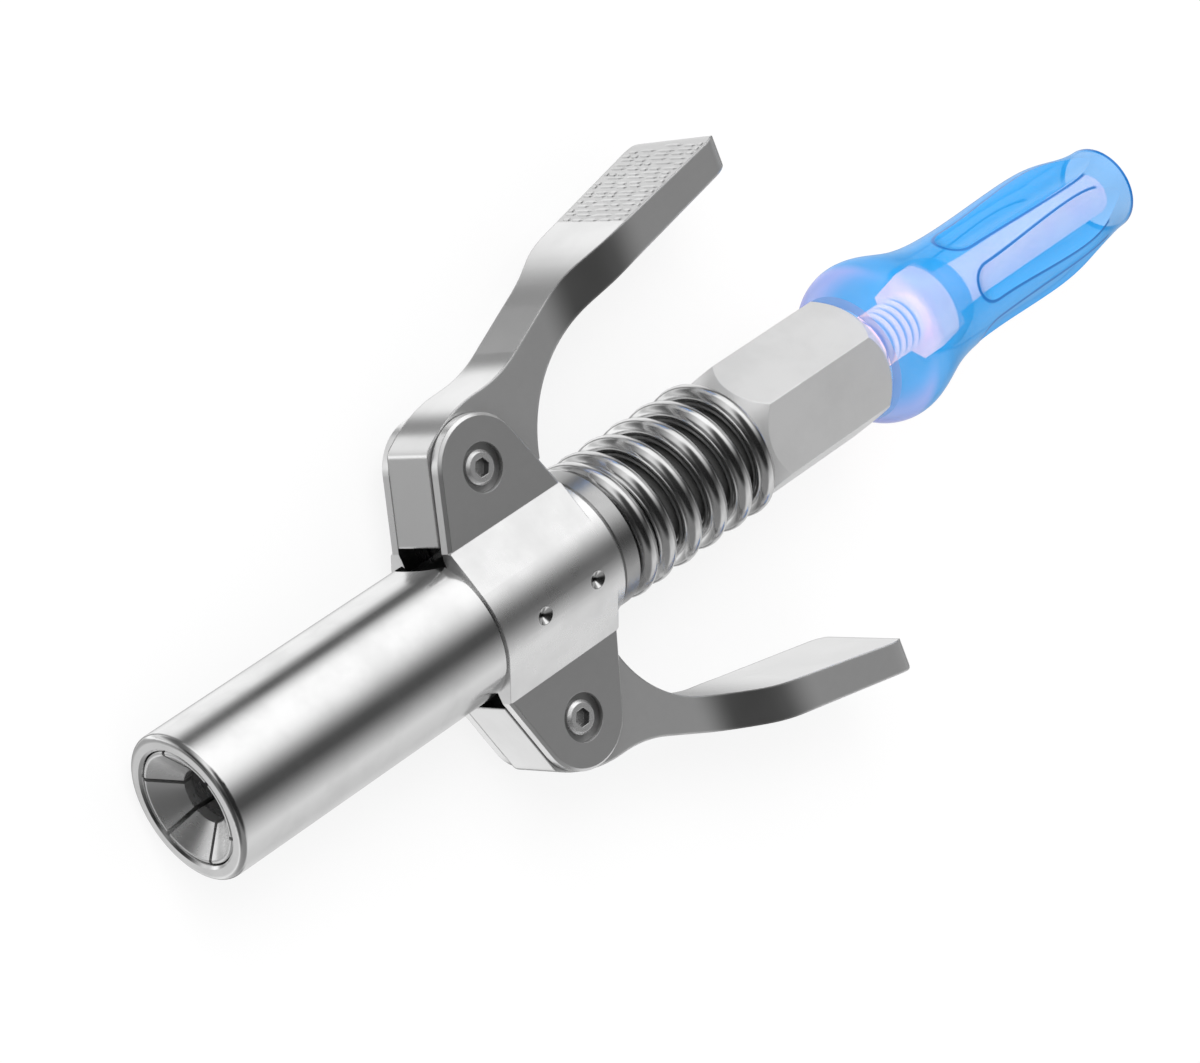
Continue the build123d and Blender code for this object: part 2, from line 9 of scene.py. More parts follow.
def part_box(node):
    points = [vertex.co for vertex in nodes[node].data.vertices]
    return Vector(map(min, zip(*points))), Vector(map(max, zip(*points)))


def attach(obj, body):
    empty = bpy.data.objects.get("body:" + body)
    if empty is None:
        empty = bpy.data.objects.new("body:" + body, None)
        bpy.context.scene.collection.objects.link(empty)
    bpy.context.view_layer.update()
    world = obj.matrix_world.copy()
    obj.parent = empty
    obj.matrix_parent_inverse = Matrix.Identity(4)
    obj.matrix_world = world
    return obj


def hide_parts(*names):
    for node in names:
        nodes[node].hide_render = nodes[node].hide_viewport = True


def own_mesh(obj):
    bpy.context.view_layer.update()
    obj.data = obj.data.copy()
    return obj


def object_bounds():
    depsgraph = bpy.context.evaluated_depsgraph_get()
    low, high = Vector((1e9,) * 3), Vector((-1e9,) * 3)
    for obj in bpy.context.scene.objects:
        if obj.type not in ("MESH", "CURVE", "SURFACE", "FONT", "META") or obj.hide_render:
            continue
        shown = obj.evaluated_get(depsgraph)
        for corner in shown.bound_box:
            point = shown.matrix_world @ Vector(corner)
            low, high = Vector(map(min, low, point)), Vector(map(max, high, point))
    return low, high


# Grease coupler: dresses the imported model, lights it and looks at it from the photograph's side.
# Metres throughout. X is the coupler's axis, nose towards -X, levers up and down the Y axis.

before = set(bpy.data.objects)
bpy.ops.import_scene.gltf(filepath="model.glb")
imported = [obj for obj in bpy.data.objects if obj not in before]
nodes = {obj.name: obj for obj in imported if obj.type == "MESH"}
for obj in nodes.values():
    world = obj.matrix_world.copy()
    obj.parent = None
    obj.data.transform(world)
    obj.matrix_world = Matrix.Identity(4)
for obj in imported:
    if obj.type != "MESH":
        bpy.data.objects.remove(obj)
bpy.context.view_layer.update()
print("frame loaded:", len(nodes), "nodes")


# shader helpers
class Sock:
    # one shader socket that can be used in sums

    def __init__(self, tree, out):
        self.tree = tree
        self.out = out

    def maths(self, operation, *terms):
        node = self.tree.nodes.new("ShaderNodeMath")
        node.operation = operation
        for slot, term in enumerate(terms):
            if isinstance(term, Sock):
                self.tree.links.new(term.out, node.inputs[slot])
            else:
                node.inputs[slot].default_value = term
        return Sock(self.tree, node.outputs[0])

    def __add__(self, other):
        return self.maths("ADD", self, other)

    __radd__ = __add__

    def __sub__(self, other):
        return self.maths("SUBTRACT", self, other)

    def __rsub__(self, other):
        return self.maths("SUBTRACT", other, self)

    def __mul__(self, other):
        return self.maths("MULTIPLY", self, other)

    __rmul__ = __mul__

    def __truediv__(self, other):
        return self.maths("DIVIDE", self, other)

    def __pow__(self, other):
        return self.maths("POWER", self, other)

    def __abs__(self):
        return self.maths("ABSOLUTE", self)

    def larger(self, other):
        return self.maths("MAXIMUM", self, other)

    def smaller(self, other):
        return self.maths("MINIMUM", self, other)

    def ramp(self, low, high):
        # 0 below low, 1 above high, smooth between
        return Nodes(self.tree).add(
            "ShaderNodeMapRange", {"interpolation_type": "SMOOTHSTEP"},
            {"Value": self, "From Min": low, "From Max": high})

    def past(self, limit, soft=0.0001):
        # 0 up to the limit and 1 beyond it
        return self.ramp(limit, limit + soft)


class Nodes:
    # a node tree with one call that adds any node

    def __init__(self, tree):
        self.tree = tree

    def add(self, kind, settings=None, feeds=None, out=0):
        # feeds and out name a socket or give its number, and out=None gives every output
        node = self.tree.nodes.new(kind)
        for key, value in (settings or {}).items():
            if key == "stops":
                self.setStops(node.color_ramp, value)
            else:
                setattr(node, key, value)
        for key, value in (feeds or {}).items():
            self.give(node.inputs[key], value)
        if out is None:
            return [Sock(self.tree, socket) for socket in node.outputs]
        return Sock(self.tree, node.outputs[out])

    def setStops(self, ramp, stops):
        for element, (place, colour) in zip(ramp.elements, (stops[0], stops[-1])):
            element.position = place
            element.color = colour
        for place, colour in stops[1:-1]:
            ramp.elements.new(place).color = colour

    def give(self, socket, value):
        # a link, a number or a colour
        if isinstance(value, Sock):
            self.tree.links.new(value.out, socket)
        elif socket.type == "RGBA":
            socket.default_value = (*value, 1.0)
        else:
            socket.default_value = value

    def parts(self, vector):
        # the x, y and z of a vector
        return self.add("ShaderNodeSeparateXYZ", feeds={0: vector}, out=None)


# what every plated surface shares: its patches, its turning marks and how far its fine lines stand out,
# with the depth in metres
plateWear = dict(patch=160, patchEdge=(0.35, 0.7), slow=12, lineShine=0.05)
plateLines = dict(strength=0.06, depth=0.00002)


class Finish(Nodes):
    # a surface finish: the Principled shader with named sockets

    def __init__(self, name, **fixed):
        self.material = bpy.data.materials.new(name)
        self.material.use_nodes = True
        super().__init__(self.material.node_tree)
        self.shader = self.tree.nodes["Principled BSDF"]
        self.feed(**fixed)
        self.place = self.add("ShaderNodeTexCoord", out="Object")  # the frame's own coordinates

    def feed(self, **values):
        for key, value in values.items():
            self.give(self.shader.inputs[key.replace("_", " ")], value)

    def facing(self):
        return self.parts(self.add("ShaderNodeNewGeometry", out="Normal"))

    def stretched(self, alongX, alongY, alongZ):
        return self.add("ShaderNodeMapping", feeds={"Vector": self.place, "Scale": (alongX, alongY, alongZ)})

    def noise(self, vector, scale, detail=3.0, roughness=0.55):
        return self.add("ShaderNodeTexNoise", feeds={
            "Vector": vector, "Scale": scale, "Detail": detail, "Roughness": roughness})

    def blendColours(self, factor, first, second):
        return self.add("ShaderNodeMix", {"data_type": "RGBA"}, {0: factor, 6: first, 7: second}, out=2)

    def bump(self, height, strength, depth, corner=0.0):
        # corner is the radius that sharp edges seem to be rounded to
        feeds = {"Height": height, "Strength": strength, "Distance": depth}
        if corner:
            feeds["Normal"] = self.add("ShaderNodeBevel", {"samples": 6}, {"Radius": corner})
        return self.add("ShaderNodeBump", feeds=feeds)

    def patchy(self, scale):
        return self.noise(self.place, scale, 4).ramp(*plateWear["patchEdge"])

    def plating(self, look, around=False):
        # tone, roughness and fine lines of plated metal: smears and slightly duller patches
        patches = self.patchy(look.get("patch", plateWear["patch"]))
        if around:
            lines = self.noise(self.stretched(look["turned"], plateWear["slow"], plateWear["slow"]), 1.0, 2)
        else:
            lines = self.noise(self.place, look["grain"], 2)
        tone = self.blendColours(patches, look["tone"], look["dullTone"])
        shine = look["shine"] + look["smear"] * patches + plateWear["lineShine"] * (lines - 0.5)
        return tone, shine, lines


# finishes
polishedShell = dict(
    tone=(0.87, 0.87, 0.87), dullTone=(0.80, 0.80, 0.80), shine=0.15, smear=0.06, turned=2700)
# painted shade: the thrust ring, under the ears' rear, is given a darker tone
ringShadeSteel = dict(tone=(0.52, 0.52, 0.52), dullTone=(0.44, 0.44, 0.44), shine=0.26, smear=0.06, turned=3600)
# painted shade: the jaw carrier, seen down the slot between the ears, is made near black
carrierShadeSteel = dict(tone=(0.16, 0.16, 0.16), dullTone=(0.12, 0.12, 0.12), shine=0.40, smear=0.06, turned=3600)
pinSteel = dict(
    tone=(0.92, 0.92, 0.92), dullTone=(0.84, 0.84, 0.84), shine=0.24, smear=0.06, grain=1800, metal=0.88)
jawSteel = dict(
    tone=(0.84, 0.84, 0.84), dullTone=(0.74, 0.74, 0.74), shine=0.24, smear=0.08, turned=3600, metal=0.92)
springWire = dict(tone=(0.84, 0.84, 0.84), dullTone=(0.70, 0.70, 0.70), shine=0.13, smear=0.05, grain=700)


# the pivot pins: where they stand, the hollow round each and the hexagon socket in it, both darkened with
# painted shade
pinSeat = dict(
    along=0.0461, out=0.016, face=0.0054, corner=0.0001, hollow=0.0029, hollowDepth=(0.0001, 0.0007),
    hollowShade=(0.48, 0.48, 0.48), socket=0.00118, wallDepth=(0.0002, 0.0003), socketDeep=0.0011,
    socketShade=(0.16, 0.16, 0.16), floorPale=0.6)


def pinDistance(finish):
    # how far a point lies from the nearer pin's axis and from the middle plane, in metres
    along, across, up = finish.parts(finish.place)
    aside = along - pinSeat["along"]
    out = abs(across) - pinSeat["out"]
    return (aside * aside + out * out) ** 0.5, abs(up)


def pinFinish():
    # bright plated heads, with painted shade on the hexagon socket's walls and a little less on its floor
    finish = Finish("pinBright", Metallic=pinSteel["metal"])
    tone, shine, lines = finish.plating(pinSteel)
    distance, height = pinDistance(finish)
    depth = pinSeat["face"] - height
    # painted shade: the socket's walls dark, its floor less so
    wall = (1 - distance.past(pinSeat["socket"], 0.00003)) * depth.ramp(*pinSeat["wallDepth"])
    wall = wall * (1 - depth.past(pinSeat["socketDeep"], 0.00005) * pinSeat["floorPale"])
    finish.feed(
        Base_Color=finish.blendColours(wall, tone, pinSeat["socketShade"]),
        Roughness=shine,
        Normal=finish.bump(lines, **plateLines, corner=pinSeat["corner"]))
    return finish


def plated(name, look, around=False):
    finish = Finish(name, Metallic=look.get("metal", 1.0))
    tone, shine, lines = finish.plating(look, around)
    finish.feed(Base_Color=tone, Roughness=shine, Normal=finish.bump(lines, **plateLines))
    return finish


collarShell = dict(polishedShell, tone=(0.95, 0.95, 0.95), dullTone=(0.90, 0.90, 0.90), shine=0.26)
collarCorner = 0.00012  # how round its edges look
# the ears' flats: their shoulder is where the satin starts, out from the axis
earSides = dict(
    tone=(0.79, 0.79, 0.79), dullTone=(0.74, 0.74, 0.74), shine=0.48, smear=0.06, grain=5200,
    facing=(0.96, 0.985), shoulder=0.0094)
forkShade = dict(half=0.0041, tone=(0.14, 0.14, 0.14))  # painted shade: dark on the ears' inner faces, between the ears


# the two punched dimples: their places along the axis, and the angle that they are punched at; their pits are
# darkened with painted shade
dimples = dict(
    places=(0.0438, 0.0525), angle=100, size=0.0011, pit=(0.00012, 0.00042), pitShade=(0.05, 0.05, 0.05),
    shine=0.12)


def dimpleDistance(finish):
    # how far a point lies from the nearer dimple's own axis, in metres
    along, across, up = finish.parts(finish.place)
    punch = math.radians(dimples["angle"])
    aside = across * math.sin(punch) - up * math.cos(punch)
    first, second = (abs(along - place) for place in dimples["places"])
    nearer = first.smaller(second)
    behind = 1 - up.past(0.0, 0.001)
    return (nearer * nearer + aside * aside) ** 0.5 + behind


def collarFinish():
    # polished like the barrel, with plain satin side faces on the ears, and painted shade between the ears,
    # in the pins' hollows and in the dimples' pits
    finish = Finish("collarPolish", Metallic=1.0)
    tone, shine, lines = finish.plating(collarShell, around=True)
    satinTone, satinShine, grain = finish.plating(earSides)
    across, up = finish.parts(finish.place)[1:]
    sideways = abs(finish.facing()[2]).ramp(*earSides["facing"])
    # painted shade on the inner faces of the slot between the ears
    shadedFork = sideways * (1 - abs(up).past(forkShade["half"]))
    flat = sideways * abs(across).past(earSides["shoulder"])
    tone = finish.blendColours(flat, tone, satinTone)
    # painted shade: the hollow round each pin is darkened
    distance, height = pinDistance(finish)
    sunk = (pinSeat["face"] - height).ramp(*pinSeat["hollowDepth"])
    hollow = (1 - distance.past(pinSeat["hollow"], 0.00005)) * sunk
    tone = finish.blendColours(hollow, tone, pinSeat["hollowShade"])
    # painted shade: each dimple's pit is dark in its middle
    away = dimpleDistance(finish)
    tone = finish.blendColours(1 - away.ramp(*dimples["pit"]), tone, dimples["pitShade"])
    punched = 1 - away.past(dimples["size"])
    shine = shine + (dimples["shine"] - shine) * punched
    finish.feed(
        Base_Color=finish.blendColours(shadedFork, tone, forkShade["tone"]),
        Roughness=shine + (satinShine - shine) * flat,
        Normal=finish.bump(lines + (grain - lines) * flat, **plateLines, corner=collarCorner))
    return finish


leverFaces = dict(
    tone=(0.88, 0.88, 0.88), dullTone=(0.82, 0.82, 0.82), shine=0.17, smear=0.05, grain=2600, patch=70,
    corner=0.0004)
leverSides = dict(
    tone=(0.92, 0.92, 0.92), dullTone=(0.86, 0.86, 0.86), shine=0.36, smear=0.06, grain=5200, satin=0.07,
    facing=(0.82, 0.9))
leverNeckShade = dict(tone=(0.34, 0.34, 0.34), front=(0.0625, 0.0680), rear=(0.0735, 0.0790))  # painted shade: the flare's side faces, darker
# the pad between the knurl's dashes, from a little ahead of them
padGround = dict(tone=(0.70, 0.70, 0.70), dull=0.10, facing=(0.6, 0.75), ahead=(0.0006, 0.0003))

# the knurl: rows of short raised dashes across the flat of each thumb pad, all leaning a little. No row
# begins past last, and no dash has its middle past end.
knurl = dict(
    start=0.0780, lean=0.085, last=0.0932, end=0.0925, pitch=0.00092, width=0.00074, top=0.00034,
    height=0.00009, sunk=0.00003, taper=0.3, shortest=0.0014, longest=0.0042, gap=0.0001, margin=0.0003,
    wander=0.00018, seed=7)


def leverFinish():
    # stamped and plated: satin side faces, brighter edges, duller pads under the knurl, and painted shade on
    # the flared neck's sides
    finish = Finish("leverSatin")
    tone, shine, grain = finish.plating(leverFaces)
    sideTone, sideShine, sideGrain = finish.plating(leverSides)
    along, across, sideways = finish.parts(finish.place)
    normalY, normalZ = finish.facing()[1:]
    side = abs(normalZ).ramp(*leverSides["facing"])
    outward = normalY * across.maths("SIGN", across)
    far, near = (knurl["start"] - ahead for ahead in padGround["ahead"])
    onPad = outward.ramp(*padGround["facing"]) * (along + sideways * knurl["lean"]).ramp(far, near)
    tone = finish.blendColours(onPad, tone, padGround["tone"])
    # painted shade on the side faces of the flared neck
    neckShade = along.ramp(*leverNeckShade["front"]) * (1 - along.ramp(*leverNeckShade["rear"]))
    sideTone = finish.blendColours(neckShade, sideTone, leverNeckShade["tone"])
    finish.feed(
        Base_Color=finish.blendColours(side, tone, sideTone),
        Metallic=1 - leverSides["satin"] * side,
        Roughness=shine + (sideShine - shine) * side + padGround["dull"] * onPad,
        Normal=finish.bump(grain + (sideGrain - grain) * side, **plateLines, corner=leverFaces["corner"]))
    return finish


hexSteel = dict(
    tone=(0.90, 0.90, 0.90), dullTone=(0.84, 0.84, 0.84), shine=0.36, smear=0.06, metal=0.70, patch=140,
    drawn=(40, 3000, 3000), lineShine=0.08, lineBump=(0.08, 0.00002), corner=0.0002,
    shade=(0.20, 0.20, 0.20), shadeEnd=0.0832, shadeRadius=0.0080)


def hexagonFinish():
    # satin plated bar with fine lines along the axis, and painted shade darkening the tube under the spring
    finish = Finish("hexagonSatin", Metallic=hexSteel["metal"])
    patches = finish.patchy(hexSteel["patch"])
    lines = finish.noise(finish.stretched(*hexSteel["drawn"]), 1.0, 2)
    along, across, up = finish.parts(finish.place)
    radius = (across * across + up * up) ** 0.5
    springShade = (1 - radius.past(hexSteel["shadeRadius"], 0.0002)) * (1 - along.past(hexSteel["shadeEnd"], 0.0002))
    tone = finish.blendColours(patches, hexSteel["tone"], hexSteel["dullTone"])
    finish.feed(
        Base_Color=finish.blendColours(springShade, tone, hexSteel["shade"]),
        Roughness=hexSteel["shine"] + hexSteel["smear"] * patches + hexSteel["lineShine"] * (lines - 0.5),
        Normal=finish.bump(lines, *hexSteel["lineBump"], corner=hexSteel["corner"]))
    return finish


# the boot is clear blue plastic: its colours, how solid it looks, and where its inside gets narrower
bootLook = dict(
    blue=(0.0, 0.31, 0.77), cloud=(0.004, 0.345, 0.83), cloudSize=220, edgeBlue=(0.0, 0.12, 0.44),
    edgeDark=0.85, glint=(0.50, 0.68, 0.98), glintShare=0.7, lilac=(0.46, 0.44, 0.92), lilacShare=0.8,
    lilacEnd=0.1128, lilacRim=(0.12, 0.4), lilacFade=0.002, ior=1.45, coat=0.25, coatRough=0.15,
    shine=0.32, cloudShine=0.1, cloudBump=(0.05, 0.0002), wallAlpha=0.75, boreAlpha=0.05, rim=0.35,
    rimSolid=(0.35, 0.9), rear=0.1584, cavity=0.0067, bore=0.0053, cavityEnd=0.122, narrowing=0.001,
    lip=0.1082, clearer=0.13, clearerEnd=(0.1125, 0.1150))
# its flutes' outlines follow the shape: a round nose, then a cylinder that leans towards the axis
flutes = dict(
    start=0.1287, end=0.1518, axisRadius=0.0116, radius=0.0050, lean=1.5, turn=26, count=6,
    ahead=(0.0048, 0.0042), edge=(0.00002, 0.0001), edgeEnd=(0.00024, 0.00045), glint=(0.0007, 0.0003),
    glintSoft=0.0002)


def fluteDistance(along, across, up, radius):
    # how far a point lies outside the nearest flute's cutter, in metres
    turn = up.maths("ARCTAN2", up, across) - math.radians(flutes["turn"])
    half = math.pi / flutes["count"]
    fold = turn.maths("WRAP", turn, half, -half)
    beyond = along - flutes["start"]
    before = beyond.smaller(0.0)
    axis = flutes["axisRadius"] - math.tan(math.radians(flutes["lean"])) * beyond
    out = radius * fold.maths("COSINE", fold) - axis
    aside = radius * fold.maths("SINE", fold)
    return (out * out + aside * aside + before * before) ** 0.5 - flutes["radius"]


def fluteMarks(along, across, up, radius):
    # painted shade and painted highlight: the dark line round each flute, and the pale one just inside it
    clear = fluteDistance(along, across, up, radius)
    far, near = (flutes["start"] - ahead for ahead in flutes["ahead"])
    fluted = along.ramp(far, near) * (1 - along.past(flutes["end"], 0.001))
    edge = clear.ramp(*flutes["edge"]) * (1 - clear.ramp(*flutes["edgeEnd"])) * fluted
    inner, outer = ((clear + depth).past(0.0, flutes["glintSoft"]) for depth in flutes["glint"])
    return edge, inner * (1 - outer) * fluted


def bootFinish():
    finish = Finish(
        "bootBlue", IOR=bootLook["ior"], Coat_Weight=bootLook["coat"], Coat_Roughness=bootLook["coatRough"])
    along, across, up = finish.parts(finish.place)
    radius = (across * across + up * up) ** 0.5
    edge, glint = fluteMarks(along, across, up, radius)
    # painted shade: a dark line round the boot's rear end too
    edge = edge.larger(along.ramp(bootLook["rear"] - 0.0001, bootLook["rear"]))
    glint = glint * bootLook["glintShare"]
    narrow = along.ramp(*(bootLook["cavityEnd"] + bootLook["narrowing"] * side for side in (-1, 1)))
    wide = bootLook["cavity"] + (bootLook["bore"] - bootLook["cavity"]) * narrow
    skin = (radius - wide).ramp(-0.0001, 0.0001)
    skin = skin.larger(1 - along.past(bootLook["lip"], 0.0002))
    rim = finish.add("ShaderNodeLayerWeight", feeds={"Blend": bootLook["rim"]}, out="Facing")
    # painted sheen: lilac near the boot's outline towards its mouth
    mouthSheen = 1 - along.ramp(bootLook["lilacEnd"] - bootLook["lilacFade"], bootLook["lilacEnd"])
    mouthSheen = mouthSheen * rim.ramp(*bootLook["lilacRim"])
    clouds = finish.noise(finish.place, bootLook["cloudSize"], 3)
    blue = finish.blendColours(clouds, bootLook["blue"], bootLook["cloud"])
    blue = finish.blendColours(mouthSheen * bootLook["lilacShare"], blue, bootLook["lilac"])
    blue = finish.blendColours(glint, blue, bootLook["glint"])
    wall = bootLook["wallAlpha"] - bootLook["clearer"] * (1 - along.ramp(*bootLook["clearerEnd"]))
    solid = wall + (1 - wall) * rim.ramp(*bootLook["rimSolid"]).larger(edge.larger(glint))
    finish.feed(
        Base_Color=finish.blendColours(edge * bootLook["edgeDark"], blue, bootLook["edgeBlue"]),
        Roughness=bootLook["shine"] + bootLook["cloudShine"] * (clouds - 0.5),
        Alpha=bootLook["boreAlpha"] + (solid - bootLook["boreAlpha"]) * skin,
        Normal=finish.bump(clouds, *bootLook["cloudBump"]))
    return finish


# painted light: the stem glows, standing for the light that it gathers through the clear boot
stemLook = dict(
    tone=(0.92, 0.80, 0.90), dullTone=(0.84, 0.64, 0.86), groove=(0.20, 0.30, 0.70), shine=0.42,
    patch=300, patchEdge=(0.3, 0.7), drawn=(2400, 30, 30), lineShine=0.08, lineBump=(0.1, 0.00003),
    glow=(1.0, 0.55, 0.30), gain=0.80, glowStart=0.1118, grooveDim=0.7, threadEnd=0.1187,
    threadRoot=0.00312, threadCrest=0.0035, bore=0.0019, rear=0.1572, bareTone=(0.66, 0.66, 0.66))


def stemFinish():
    finish = Finish("stemNickel", Emission_Strength=stemLook["gain"])
    along, across, up = finish.parts(finish.place)
    radius = (across * across + up * up) ** 0.5
    # painted shade: the thread's roots are darker and bluer, and glow less
    groove = 1 - radius.ramp(stemLook["threadRoot"], stemLook["threadCrest"])
    groove = groove * (1 - along.past(stemLook["threadEnd"]))
    bare = (1 - radius.past(stemLook["bore"])).larger(along.past(stemLook["rear"], 0.0002))
    glowing = along.past(stemLook["glowStart"], 0.0012) * (1 - stemLook["grooveDim"] * groove) * (1 - bare)
    patches = finish.noise(finish.place, stemLook["patch"], 4).ramp(*stemLook["patchEdge"])
    lines = finish.noise(finish.stretched(*stemLook["drawn"]), 1.0, 2)
    tone = finish.blendColours(patches, stemLook["tone"], stemLook["dullTone"])
    tone = finish.blendColours(bare, tone, stemLook["bareTone"])
    finish.feed(
        Base_Color=finish.blendColours(groove, tone, stemLook["groove"]),
        Emission_Color=finish.blendColours(glowing, (0.0, 0.0, 0.0), stemLook["glow"]),
        Roughness=stemLook["shine"] + stemLook["lineShine"] * (lines - 0.5),
        Normal=finish.bump(lines, *stemLook["lineBump"]))
    return finish


rubberLook = dict(
    dark=(0.012, 0.012, 0.013), light=(0.03, 0.03, 0.032), gloss=0.4, grain=3000, shine=0.5, grainShine=0.2,
    grainBump=(0.2, 0.00003))


def rubberFinish():
    finish = Finish("sealRubber", Specular_IOR_Level=rubberLook["gloss"])
    grain = finish.noise(finish.place, rubberLook["grain"], 3)
    finish.feed(
        Base_Color=finish.blendColours(grain, rubberLook["dark"], rubberLook["light"]),
        Roughness=rubberLook["shine"] + rubberLook["grainShine"] * grain,
        Normal=finish.bump(grain, *rubberLook["grainBump"]))
    return finish


shell = plated("shellPolish", polishedShell, around=True)
collar = collarFinish()
lever = leverFinish()
ring = plated("ringShaded", ringShadeSteel, around=True)
carrier = plated("carrierShaded", carrierShadeSteel, around=True)
pin = pinFinish()
turnedSteel = plated("jawBright", jawSteel, around=True)
hexagon = hexagonFinish()
wire = plated("springBright", springWire)
boot = bootFinish()
stem = stemFinish()
rubber = rubberFinish()

dressing = {
    "nose_barrel": shell, "ear_collar": collar, "thrust_ring": ring,
    "upper_lever": lever, "lower_lever": lever,
    "upper_pin": pin, "lower_pin": pin,
    "body_tube": hexagon, "jaw_carrier": carrier, "jaw_ring": pin, "seat_plug": turnedSteel,
    "nozzle": turnedSteel, "nozzle_seal": rubber, "nozzle_ring": rubber, "body_ring": rubber,
    "hose_stem": stem, "boot": boot, "check_ball": wire,
    "main_spring": wire, "nozzle_spring": wire, "check_spring": wire,
}
for number in range(1, 7):
    dressing[f"jaw_{number}"] = turnedSteel
for name, finish in dressing.items():
    mesh = nodes[name].data
    mesh.materials.clear()
    mesh.materials.append(finish.material)
for shownThrough in ("visible_diffuse", "visible_shadow"):
    setattr(nodes["boot"], shownThrough, False)  # so daylight reaches the stem through the clear plastic
print("finishes on", len(dressing), "nodes")


# pieces made here
def pieceFrom(work, name, material, smooth=True):
    bmesh.ops.recalc_face_normals(work, faces=work.faces)
    mesh = bpy.data.meshes.new(name)
    work.to_mesh(mesh)
    work.free()
    mesh.materials.append(material)
    if smooth:
        mesh.shade_smooth()
    piece = bpy.data.objects.new(name, mesh)
    bpy.context.scene.collection.objects.link(piece)
    return piece


def skinRings(work, rings):
    # faces from each ring of points to the next, with both ends closed
    for first, second in zip(rings, rings[1:]):
        for corner in range(len(first)):
            after = (corner + 1) % len(first)
            work.faces.new((first[corner], first[after], second[after], second[corner]))
    work.faces.new(list(reversed(rings[0])))
    work.faces.new(rings[-1])


# the springs: their size and end turns, and for each a joint, slot, travel and fixed end that this script
# does not read
springs = {
    "mainCoil": dict(
        node="main_spring", joint="sleeve_slide", slot="spring_chrome", travel=0.003, fixedEnd="rear",
        radius=0.0078, wire=0.0027, closed=1.0, active=4.0, turn=40),
    "nozzleCoil": dict(
        node="nozzle_spring", joint="nozzle_slide", slot="spring_chrome", travel=0.002, fixedEnd="rear",
        radius=0.0031, wire=0.00055, closed=0.0, active=4.0, turn=0),
    "checkCoil": dict(
        node="check_spring", joint="check_ball_lift", slot="spring_chrome", travel=0.0008, fixedEnd="front",
        radius=0.0015, wire=0.0004, closed=0.0, active=4.5, turn=0),
}
# the gap between closed turns, the turns added at each end, and how finely the wire is divided
coilMaking = dict(gap=0.00012, lead=0.5, sides=20, steps=56)


def coilMesh(name, front, rear, spring):
    # a right-hand spring between two planes, its last half turns ground flat against them
    wireSize = spring["wire"]
    lead = coilMaking["lead"]
    closedPitch = wireSize + coilMaking["gap"]
    activePitch = (rear - front - wireSize - spring["closed"] * closedPitch) / spring["active"]
    stretches = ((spring["closed"] + lead, closedPitch), (spring["active"], activePitch), (lead, closedPitch))
    places = []
    x = front + wireSize / 2 - lead * closedPitch
    angle = math.radians(spring["turn"]) - math.tau * lead
    for turns, pitch in stretches:
        count = max(8, int(coilMaking["steps"] * turns))
        for step in range(count):
            share = step / count
            places.append((x + share * turns * pitch, angle + share * turns * math.tau, pitch))
        x += turns * pitch
        angle += turns * math.tau
    places.append((x, angle, closedPitch))
    work = bmesh.new()
    rings = []
    for x, angle, pitch in places:
        out = Vector((0, math.cos(angle), math.sin(angle)))
        slope = math.atan2(pitch, math.tau * spring["radius"])
        level = math.cos(slope)
        ahead = Vector((math.sin(slope), -math.sin(angle) * level, math.cos(angle) * level))
        beside = out.cross(ahead)
        ring = []
        for side in range(coilMaking["sides"]):
            around = math.tau * side / coilMaking["sides"]
            point = Vector((x, 0, 0)) + out * (spring["radius"] + wireSize / 2 * math.cos(around))
            point += beside * (wireSize / 2 * math.sin(around))
            point.x = min(max(point.x, front), rear)
            ring.append(work.verts.new(point))
        rings.append(ring)
    skinRings(work, rings)
    return pieceFrom(work, name, wire.material)


for name, spring in springs.items():
    low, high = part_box(spring["node"])
    piece = coilMesh(name, low.x, high.x, spring)
    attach(piece, "body")
    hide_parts(spring["node"])
    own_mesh(piece)
print("springs wound:", len(springs))


# the stem's thread, seen through the boot's mouth; each ridge is given as shares of the pitch at two radii
neckThread = dict(
    front=0.1086, ridges=8, pitch=0.00125, root=0.00305, crest=0.0036, sides=96,
    ridge=((0.2, "root"), (0.5, "crest"), (0.8, "crest"), (1.0, "root")))


def buildNeckThread():
    work = bmesh.new()
    outline = [(neckThread["front"], neckThread["root"])]
    for number in range(neckThread["ridges"]):
        for share, radius in neckThread["ridge"]:
            outline.append((neckThread["front"] + (number + share) * neckThread["pitch"], neckThread[radius]))
    rings = []
    for x, radius in outline:
        ring = []
        for side in range(neckThread["sides"]):
            angle = math.tau * side / neckThread["sides"]
            ring.append(work.verts.new((x, radius * math.cos(angle), radius * math.sin(angle))))
        rings.append(ring)
    skinRings(work, rings)
    piece = pieceFrom(work, "neckThread", stem.material)
    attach(piece, "body")


buildNeckThread()
print("neck thread cut:", neckThread["ridges"], "ridges")


# the knurl's dashes are raised from the levers' own flats, and padFlat tells those from the other faces
knurlSteel = dict(tone=(0.86, 0.86, 0.86), dullTone=(0.78, 0.78, 0.78), shine=0.30, smear=0.05, grain=2600)
padFlat = dict(front=0.0755, facing=0.9, level=0.9999)


def addDash(work, middle, along, outward, length):
    # one dash that tapers at both ends, its length across the pad and leaning a little
    across = Vector((0, 0, 1)) - along * knurl["lean"]
    taper = knurl["taper"]
    rings = []
    for end, full in ((-1, taper), (-0.5, 1), (0.5, 1), (1, taper)):
        raised = knurl["height"] * (full - taper) / (1 - taper)
        ring = []
        for side, isTop in ((-1, False), (1, False), (1, True), (-1, True)):
            wide = knurl["top"] if isTop else knurl["width"]
            lift = raised if isTop else -knurl["sunk"]
            point = middle + along * (side * full * wide / 2) + outward * lift
            ring.append(work.verts.new(point + across * (end * length / 2)))
        rings.append(ring)
    skinRings(work, rings)


